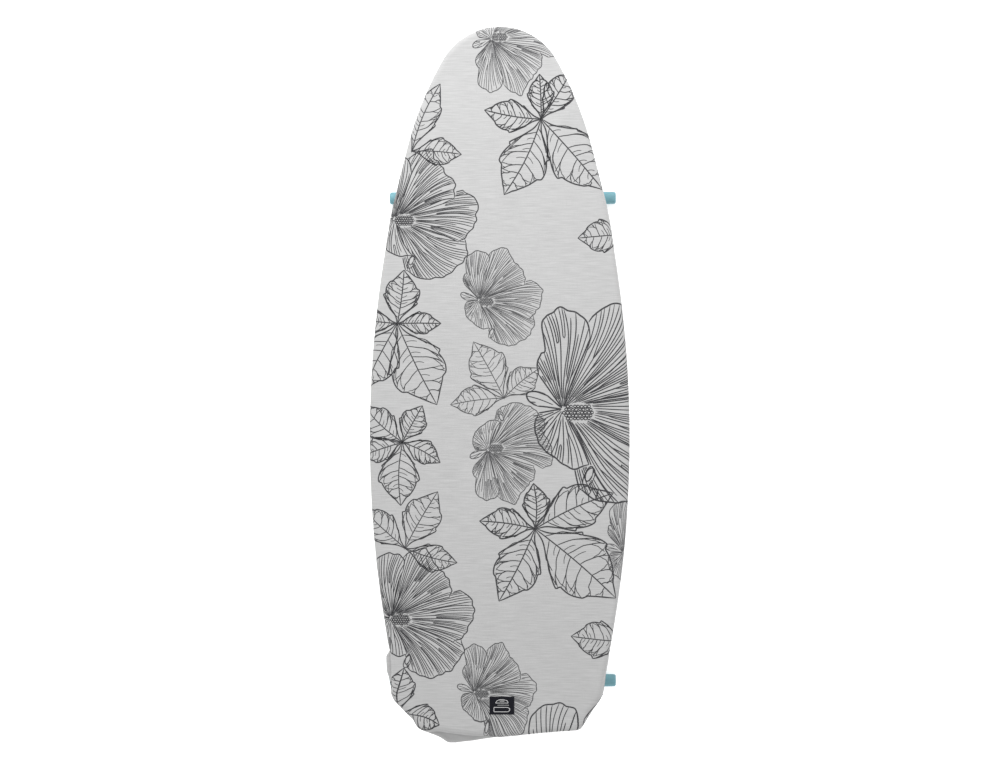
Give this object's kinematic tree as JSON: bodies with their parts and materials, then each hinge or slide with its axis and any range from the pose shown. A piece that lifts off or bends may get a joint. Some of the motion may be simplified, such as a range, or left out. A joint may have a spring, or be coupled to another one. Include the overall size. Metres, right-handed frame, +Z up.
{
  "type": "tabletop ironing board",
  "caption": "Low padded ironing board with a round nose and a cut-off tail, on bent tube legs that fold flat under it, with an elasticated cotton cover.",
  "frame": {"origin": "on the table under the middle of the board: the bottom centre of the bounding box", "axes": "+Y along the board towards the round nose, +X to the right seen from above, +Z up"},
  "size_m": [0.306, 0.8259, 0.19],
  "materials": {
    "cover_cotton": "woven light grey cotton, printed",
    "elastic": "knitted elastic band",
    "label_cloth": "black woven tape",
    "felt": "needled felt",
    "frame_steel": "grey powder coat",
    "bracket_steel": "zinc plated",
    "rivet_steel": "plain",
    "leg_steel": "dark grey powder coat",
    "nylon": "moulded, matt",
    "cap_rubber": "dusty blue, matt"
  },
  "bodies": {
    "board": {"cotton_cover": "cover_cotton", "hem_casing": "cover_cotton", "hem_elastic": "elastic", "cover_label": "label_cloth", "felt_pad": "felt", "rim_tube": "frame_steel", "mesh_panel": "frame_steel", "front_hinge_rail": "frame_steel", "front_clip_rail": "frame_steel", "front_hinge_rivets": "rivet_steel", "front_clip_rivets": "rivet_steel", "front_saddle_left": "bracket_steel", "front_bush_left": "nylon", "front_stop_left": "bracket_steel", "front_clip_left": "nylon", "front_saddle_right": "bracket_steel", "front_bush_right": "nylon", "front_stop_right": "bracket_steel", "front_clip_right": "nylon", "rear_hinge_rail": "frame_steel", "rear_clip_rail": "frame_steel", "rear_hinge_rivets": "rivet_steel", "rear_clip_rivets": "rivet_steel", "rear_saddle_left": "bracket_steel", "rear_bush_left": "nylon", "rear_stop_left": "bracket_steel", "rear_clip_left": "nylon", "rear_saddle_right": "bracket_steel", "rear_bush_right": "nylon", "rear_stop_right": "bracket_steel", "rear_clip_right": "nylon"},
    "front_leg": {"front_leg_tube": "leg_steel", "front_cap_left": "cap_rubber", "front_cap_right": "cap_rubber"},
    "rear_leg": {"rear_leg_tube": "leg_steel", "rear_cap_left": "cap_rubber", "rear_cap_right": "cap_rubber"}
  },
  "joints": [
    {"name": "front_leg_fold", "type": "hinge", "parent": "board", "child": "front_leg", "pos_m": [0, 0.221, 0.152], "axis": [-1, 0, 0], "range_deg": [0, 93]},
    {"name": "rear_leg_fold", "type": "hinge", "parent": "board", "child": "rear_leg", "pos_m": [0, -0.376, 0.152], "axis": [1, 0, 0], "range_deg": [0, 93]}
  ]
}
